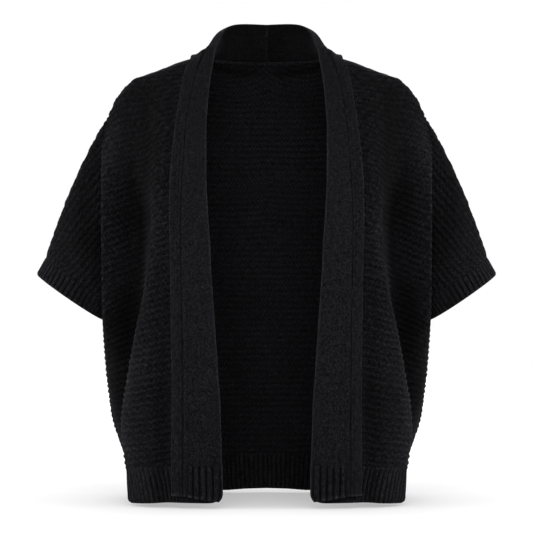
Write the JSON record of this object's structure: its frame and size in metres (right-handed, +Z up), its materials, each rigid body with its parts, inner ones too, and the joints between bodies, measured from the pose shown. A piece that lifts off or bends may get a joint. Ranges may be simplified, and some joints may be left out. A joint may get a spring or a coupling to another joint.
{
  "type": "open-front batwing cardigan",
  "caption": "Open-front batwing cardigan in ridged knit: short wide sleeves cut in one with the body, ribbed hem and cuffs, and a folded shawl band that stands up round the neck.",
  "frame": {"origin": "centre of the back neck seam, where the garment hangs on the nape of the wearer's neck", "axes": "+X to the wearer's left, -Y to the front, +Z up"},
  "size_m": [0.6336, 0.2701, 0.6646],
  "materials": {
    "ridged_knit": "matt, slightly hairy black yarn in raised horizontal ridges",
    "rib_knit": "matt black yarn in knit-two, purl-two rib",
    "band_jersey": "matt black yarn in smooth fine jersey"
  },
  "bodies": {
    "root": {"back_panel": "ridged_knit", "front_panel_left": "ridged_knit", "front_panel_right": "ridged_knit", "hem_rib_back": "rib_knit", "hem_rib_front_left": "rib_knit", "hem_rib_front_right": "rib_knit", "cuff_rib_left": "rib_knit", "cuff_rib_right": "rib_knit", "band_rib_left": "rib_knit", "band_rib_right": "rib_knit", "front_band_left": "band_jersey", "front_band_right": "band_jersey", "band_edge_left": "band_jersey", "band_edge_right": "band_jersey"}
  },
  "joints": []
}
